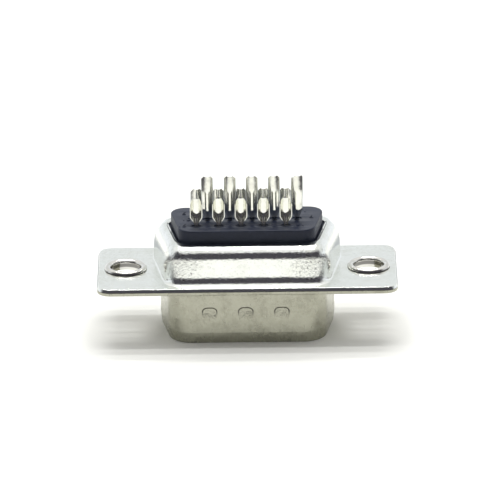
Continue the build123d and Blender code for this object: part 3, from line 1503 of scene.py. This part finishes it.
@dataclass
class ContactField:
    """Three rows of five contacts; the middle row is the tall one. A twist is in degrees."""

    pitch: float = 2.29
    row_spacing: float = 1.98
    columns: int = 5
    short: Tail = Tail(
        length=2.8,
        neck_top=0.32,
        flare_top=0.95,
        stem_radius=0.63,
        cup_height=1.3,
        taper_height=0.05,
        rim_drop=0.5,
    )
    tall: Tail = Tail(
        length=4.862,
        neck_top=0.15,
        flare_top=0.9,
        stem_radius=0.59,
        cup_height=1.6,
        taper_height=1.4,
        rim_drop=0.4,
    )
    contact: Contact = field(default_factory=Contact)
    most_lean: float = math.radians(0.5)
    twists: dict[str, tuple[float, ...]] = field(
        default_factory=lambda: {
            "wide": (2.0, -3.0, 1.0, 4.0, -2.0),
            "middle": (3.0, -2.0, 0.0, 2.0, 14.0),
            "narrow": (-3.0, 1.0, 2.0, -1.0, 4.0),
        }
    )

    def rows(self) -> list[tuple[str, float, float, Tail, Facing, int]]:
        """List the rows, from the wide side to the narrow side.

        Returns:
            Each row's name, Y, X shift, tail, facing and first contact's number.
        """
        shift = self.pitch / 4
        return [
            ("wide", self.row_spacing, -shift, self.short, Facing.WIDE_SIDE, 1),
            ("middle", 0.0, shift, self.tall, Facing.WIDE_SIDE, 6),
            ("narrow", -self.row_spacing, -shift, self.short, Facing.NARROW_SIDE, 11),
        ]

    def columns_of(self, shift: float) -> list[float]:
        """List the X of a row's contacts."""
        return [(i - (self.columns - 1) / 2) * self.pitch + shift for i in range(self.columns)]

    def places(self) -> list[Flat]:
        """List where all contacts stand."""
        return [(x, y) for _, y, shift, _, _, _ in self.rows() for x in self.columns_of(shift)]

    def build(self, setter: Setter, material: bpy.types.Material) -> list[bpy.types.Object]:
        """Build each row as one piece.

        Args:
            setter: sets the contacts out.
            material: their finish.

        Returns:
            The pieces.
        """
        pin = item("pin_item", self.contact.pin())
        pieces = []
        for name, y, shift, tail, facing, first in self.rows():
            holder = item(f"tail_item_{name}", self.contact.tail(tail))
            twists = [math.radians(t) for t in self.twists[name]]
            points = [(x, y, facing.value + twist) for x, twist in zip(self.columns_of(shift), twists)]
            values = {
                "Leaning Item": holder,
                "Upright Item": pin,
                "Finish": material,
                "Item Height": self.contact.barrel_top * MM,
                "Most Lean": self.most_lean,
                "Seed": first,
            }
            piece = setter.run(f"contacts_{name}_row", points, values)
            bpy.data.objects.remove(holder)
            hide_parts(*[f"contact_{first + i:02d}" for i in range(self.columns)])
            pieces.append(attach(piece, BODY))
        bpy.data.objects.remove(pin)
        return pieces


@dataclass
class Eyelets:
    """Two eyelets: tubes that flare flush at the front and roll out over the rear shell's flange."""

    spacing: float = 24.99
    bore: float = 1.525
    outside: float = 1.825
    lip: float = 2.2
    front: float = 5.84
    back: float = 6.54
    lip_height: float = 0.37
    crevice: float = 0.09
    flare: float = 0.25
    edge_break: float = 0.03
    flare_break: float = 0.01
    fold: float = 0.06
    roll_start: float = 0.1
    waves: tuple[tuple[float, float, float], ...] = ((5.0, 1.3, 0.5), (11.0, 0.4, 0.3), (23.0, 0.0, 0.2))
    wave_depth: float = 0.012
    wave_rise: float = 0.2
    turns: Flat = (0.4, 2.1)
    outer_steps: int = 8
    inner_steps: int = 12
    round_steps: int = 96

    def _uneven(self, angle: float, height: float) -> float:
        """Give the small unevenness of the rolled lip, from waves of a count, a phase and a share.

        Args:
            angle: the place round the lip.
            height: the height on it.

        Returns:
            What is added to the radius.
        """
        share = ease(self.back, self.back + self.wave_rise, height)
        wave = sum(math.sin(count * angle + phase) * part for count, phase, part in self.waves)
        return -self.wave_depth * share * (1 + wave)

    def _profile(self) -> list[Flat]:
        """Draw the profile of one eyelet.

        Returns:
            Radius and height of each point.
        """
        profile = [
            (self.bore, self.front + self.edge_break),
            (self.bore + self.edge_break, self.front),
            (self.outside + self.flare - self.flare_break, self.front),
            (self.outside, self.front + self.flare),
            (self.outside, self.back + self.edge_break),
            (self.lip - self.fold, self.back + self.crevice),
        ]
        inner, outer = self.lip_height, self.lip - self.bore - self.lip_height
        spring = self.back + self.lip_height - outer
        for angle in quarter(self.outer_steps):
            radius = self.lip - outer * (1 - math.cos(angle))
            profile.append((radius, spring + outer * math.sin(angle)))
        for angle in quarter(self.inner_steps, 1):
            radius = self.lip - outer - inner * math.sin(angle)
            profile.append((radius, self.back + inner * math.cos(angle)))
        profile.append((self.bore, self.back - self.roll_start))
        return profile

    def build(self, setter: Setter, material: bpy.types.Material) -> bpy.types.Object:
        """Build both eyelets as one piece.

        Args:
            setter: sets the eyelets out.
            material: their finish.

        Returns:
            The piece.
        """
        turned = lathe(self._profile(), self.round_steps, self._uneven)
        holder = item("eyelet_item", turned.mesh("eyelet", sharp=40.0))
        left, right = self.turns
        points = [(-self.spacing / 2, 0.0, left), (self.spacing / 2, 0.0, right)]
        values = {"Upright Item": holder, "Finish": material, "Seed": 1}
        piece = setter.run("eyelets", points, values)
        bpy.data.objects.remove(holder)
        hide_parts("eyelet_left", "eyelet_right")
        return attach(piece, BODY)


# The studio


@dataclass
class Camera:
    """The photograph's camera, fitted to the flange. Its distance and its clip are in metres."""

    elevation: float = math.radians(20.87)
    distance: float = 0.686
    roll: float = math.radians(0.67)
    lens: float = 479.9
    sensor: float = 36.0
    clip: Flat = (0.01, 10.0)
    aim: Point = (0.0, 0.0, 6.54)
    shift: Flat = (0.0056, 0.0344)

    def build(self) -> bpy.types.Object:
        """Set the camera up.

        Returns:
            The camera.
        """
        data = bpy.data.cameras.new("camera")
        data.lens = self.lens
        data.sensor_width = self.sensor
        data.shift_x, data.shift_y = self.shift
        data.clip_start, data.clip_end = self.clip
        camera = put("camera", data)
        back = Vector((0, -math.cos(self.elevation), math.sin(self.elevation)))
        camera.location = Vector(self.aim) * MM + back * self.distance
        turn = (-back).to_track_quat("-Z", "Y").to_matrix() @ Euler((0, 0, -self.roll)).to_matrix()
        camera.rotation_euler = turn.to_euler()
        bpy.context.scene.camera = camera
        return camera


@dataclass
class Studio:
    """White paper under three strip lamps, in a room that is dark past the paper and behind the camera.

    Lamps and the floor's half are in metres, places on the paper in millimetres, and the heights at
    which the surroundings change in degrees. A fade is half the width of a soft edge: the room's is in
    millimetres on the paper, the others are shares of the radius of the sphere that surrounds it all.
    """

    lamp_height: float = 0.5
    lamp_places: tuple[Flat, ...] = ((-0.024, 0.5), (0.105, 0.48), (0.226, 0.66))
    lamp_length: float = 0.37
    lamp_width: float = 0.02
    lit_above: float = 0.7
    lit_behind: float = 1.5
    lit_before: float = 0.12
    lit_fade: float = 0.1
    behind_band: Flat = (-0.2, 0.0)
    before_lean: float = 0.2
    before_fade: float = 0.1
    floor_half: float = 1.5
    floor_colour: Colour = (0.9, 0.9, 0.9)
    shown_floor: Colour = (1.0, 1.0, 0.965)
    dark: Colour = (0.075, 0.072, 0.085)
    horizon: Colour = (1.0, 1.03, 1.08)
    backdrop: Colour = (0.83, 0.86, 0.87)
    overhead: Colour = (1.0, 1.0, 1.0)
    dark_high: float = 47.0
    dark_lean: float = 0.1
    dark_side_fade: float = 0.25
    dark_top_fade: float = 0.03
    backdrop_band: Flat = (12.0, 19.0)
    backdrop_rest: float = 0.06
    overhead_low: float = 40.0
    paper_side: float = 41.0
    paper_front: float = 50.0
    paper_edge: Flat = (0.95, 1.1)
    room_spread: float = 0.5
    room_fade: float = 4.0
    # To mirrors only, the paper behind the object is painted darker, as shade where it is dimly lit.
    far_paper_shade: Colour = (0.44, 0.46, 0.475)
    far_shade_starts: Flat = (10.0, 18.0)
    far_shade_ends: Flat = (28.0, 44.0)

    def floor(self) -> bpy.types.Object:
        """Lay the floor: pale paper, and to mirrors a strip behind the object painted darker as shade, and
        the dark room past its edge.

        Returns:
            The floor.
        """
        half = self.floor_half
        mesh = bpy.data.meshes.new("floor")
        spots = [(-half, -half, 0), (half, -half, 0), (half, half, 0), (-half, half, 0)]
        mesh.from_pydata(spots, [], [(0, 1, 2, 3)])
        material, paint = new_material("white_paper")
        x, y, _ = paint.axes(paint.place())
        across, along = x * (1 / self.paper_side), y * (1 / self.paper_front)
        beyond = paint.band((across * across + along * along).root(), *self.paper_edge)
        towards = y * -1.0
        away = (x * x + towards * towards).root()
        ahead = paint.band(towards + away * self.room_spread, -self.room_fade, self.room_fade)
        glossy = paint.rays("Glossy")
        shown = glossy.most(paint.rays("Camera"))
        colour = paint.blend(shown, self.floor_colour, self.shown_floor)
        # Painted shade: glossy rays see the paper behind the object darker, as if it lay in dim light.
        behind = paint.band(y, *self.far_shade_starts) * (1.0 - paint.band(y, *self.far_shade_ends))
        colour = paint.blend(glossy * behind, colour, self.far_paper_shade)
        paper = paint.node("ShaderNodeBsdfDiffuse", {}, {"Color": colour})
        room = paint.node("ShaderNodeEmission", {}, {"Color": (*self.dark, 1.0)})
        shaders = {0: glossy * (beyond * ahead), 1: paper.outputs[0], 2: room.outputs[0]}
        mixed = paint.node("ShaderNodeMixShader", {}, shaders)
        paint.node("ShaderNodeOutputMaterial", {}, {"Surface": mixed.outputs[0]})
        floor = add_piece("floor", mesh, material)
        floor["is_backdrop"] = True
        return floor

    def lamps(self) -> None:
        """Hang the strip lamps."""
        for number, (y, power) in enumerate(self.lamp_places):
            data = bpy.data.lights.new(f"strip_{number}", "AREA")
            data.shape = "RECTANGLE"
            data.size, data.size_y = self.lamp_length, self.lamp_width
            data.energy = power
            lamp = put(f"strip_{number}", data)
            lamp.location = (0.0, y, self.lamp_height)

    def world(self) -> None:
        """Surround the object: white to the camera; to mirrors dark before it and pale behind it."""
        world = bpy.data.worlds.new("studio")
        bpy.context.scene.world = world
        world.use_nodes = True
        paint = Paint(world.node_tree)
        _, y, rise = paint.axes(paint.node("ShaderNodeTexCoord").outputs["Generated"])
        towards = y * -1.0
        level = (1.0 - rise * rise).most(0.0).root()
        angles = (self.dark_high, *self.backdrop_band, self.overhead_low)
        high, low, full, overhead = (math.sin(math.radians(angle)) for angle in angles)

        fade = self.dark_side_fade
        front = paint.band(towards - level * self.dark_lean, -fade, fade)
        unlit = front * (1.0 - paint.band(rise, high - self.dark_top_fade, high + self.dark_top_fade))
        lifted = paint.band(rise, full + self.backdrop_rest, overhead)
        behind = paint.blend(lifted, self.backdrop, self.overhead)
        behind = paint.blend(paint.band(rise, low, full), self.horizon, behind)
        mirrored = paint.blend(unlit, behind, self.dark)

        above = grey(self.lit_above)
        lit = paint.blend(paint.band(towards, *self.behind_band), grey(self.lit_behind), above)
        fade = self.before_fade
        before = paint.band(towards - level * self.before_lean, -fade, fade)
        lit = paint.blend(before, lit, grey(self.lit_before))
        below = 1.0 - paint.band(rise, high - self.lit_fade, high + self.lit_fade)
        lit = paint.blend(below, above, lit)

        glossy = paint.rays("Glossy").most(paint.rays("Transmission"))
        around = paint.blend(glossy, lit, mirrored)
        shown = paint.blend(paint.rays("Camera"), around, grey(1.0))
        light = paint.node("ShaderNodeBackground", {}, {"Color": shown, "Strength": 1.0})
        paint.node("ShaderNodeOutputWorld", {}, {"Surface": light.outputs[0]})


def corners() -> list[list[float]]:
    """Give the two corners of what is shown, as plain lists."""
    return [list(corner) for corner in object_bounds()]


def main() -> None:
    """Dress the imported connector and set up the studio."""
    logging.basicConfig(level=logging.INFO, format="%(message)s")
    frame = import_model()
    scene = bpy.context.scene
    scene.view_settings.view_transform = "Standard"

    black = BLACK_MOULDING.material()
    contacts = ContactField()
    setter = Setter()
    insulator = RearInsulator()
    pieces = [
        RearShell().build(REAR_PLATING.material()),
        PlugShell().build(PLUG_PLATING.material()),
        insulator.build(contacts.places(), black),
        *insulator.mark(black),
        *contacts.build(setter, CONTACT_TIN.material()),
        Eyelets().build(setter, EYELET_PLATING.material()),
    ]
    front = frame["nodes"]["front_insulator"]
    front.data.materials.clear()
    front.data.materials.append(black)
    for piece in [*pieces, front]:
        LOG.info("piece %s: %d faces", piece.name, len(piece.data.polygons))

    studio = Studio()
    studio.floor()
    studio.lamps()
    studio.world()
    Camera().build()


if __name__ == "__main__":
    main()
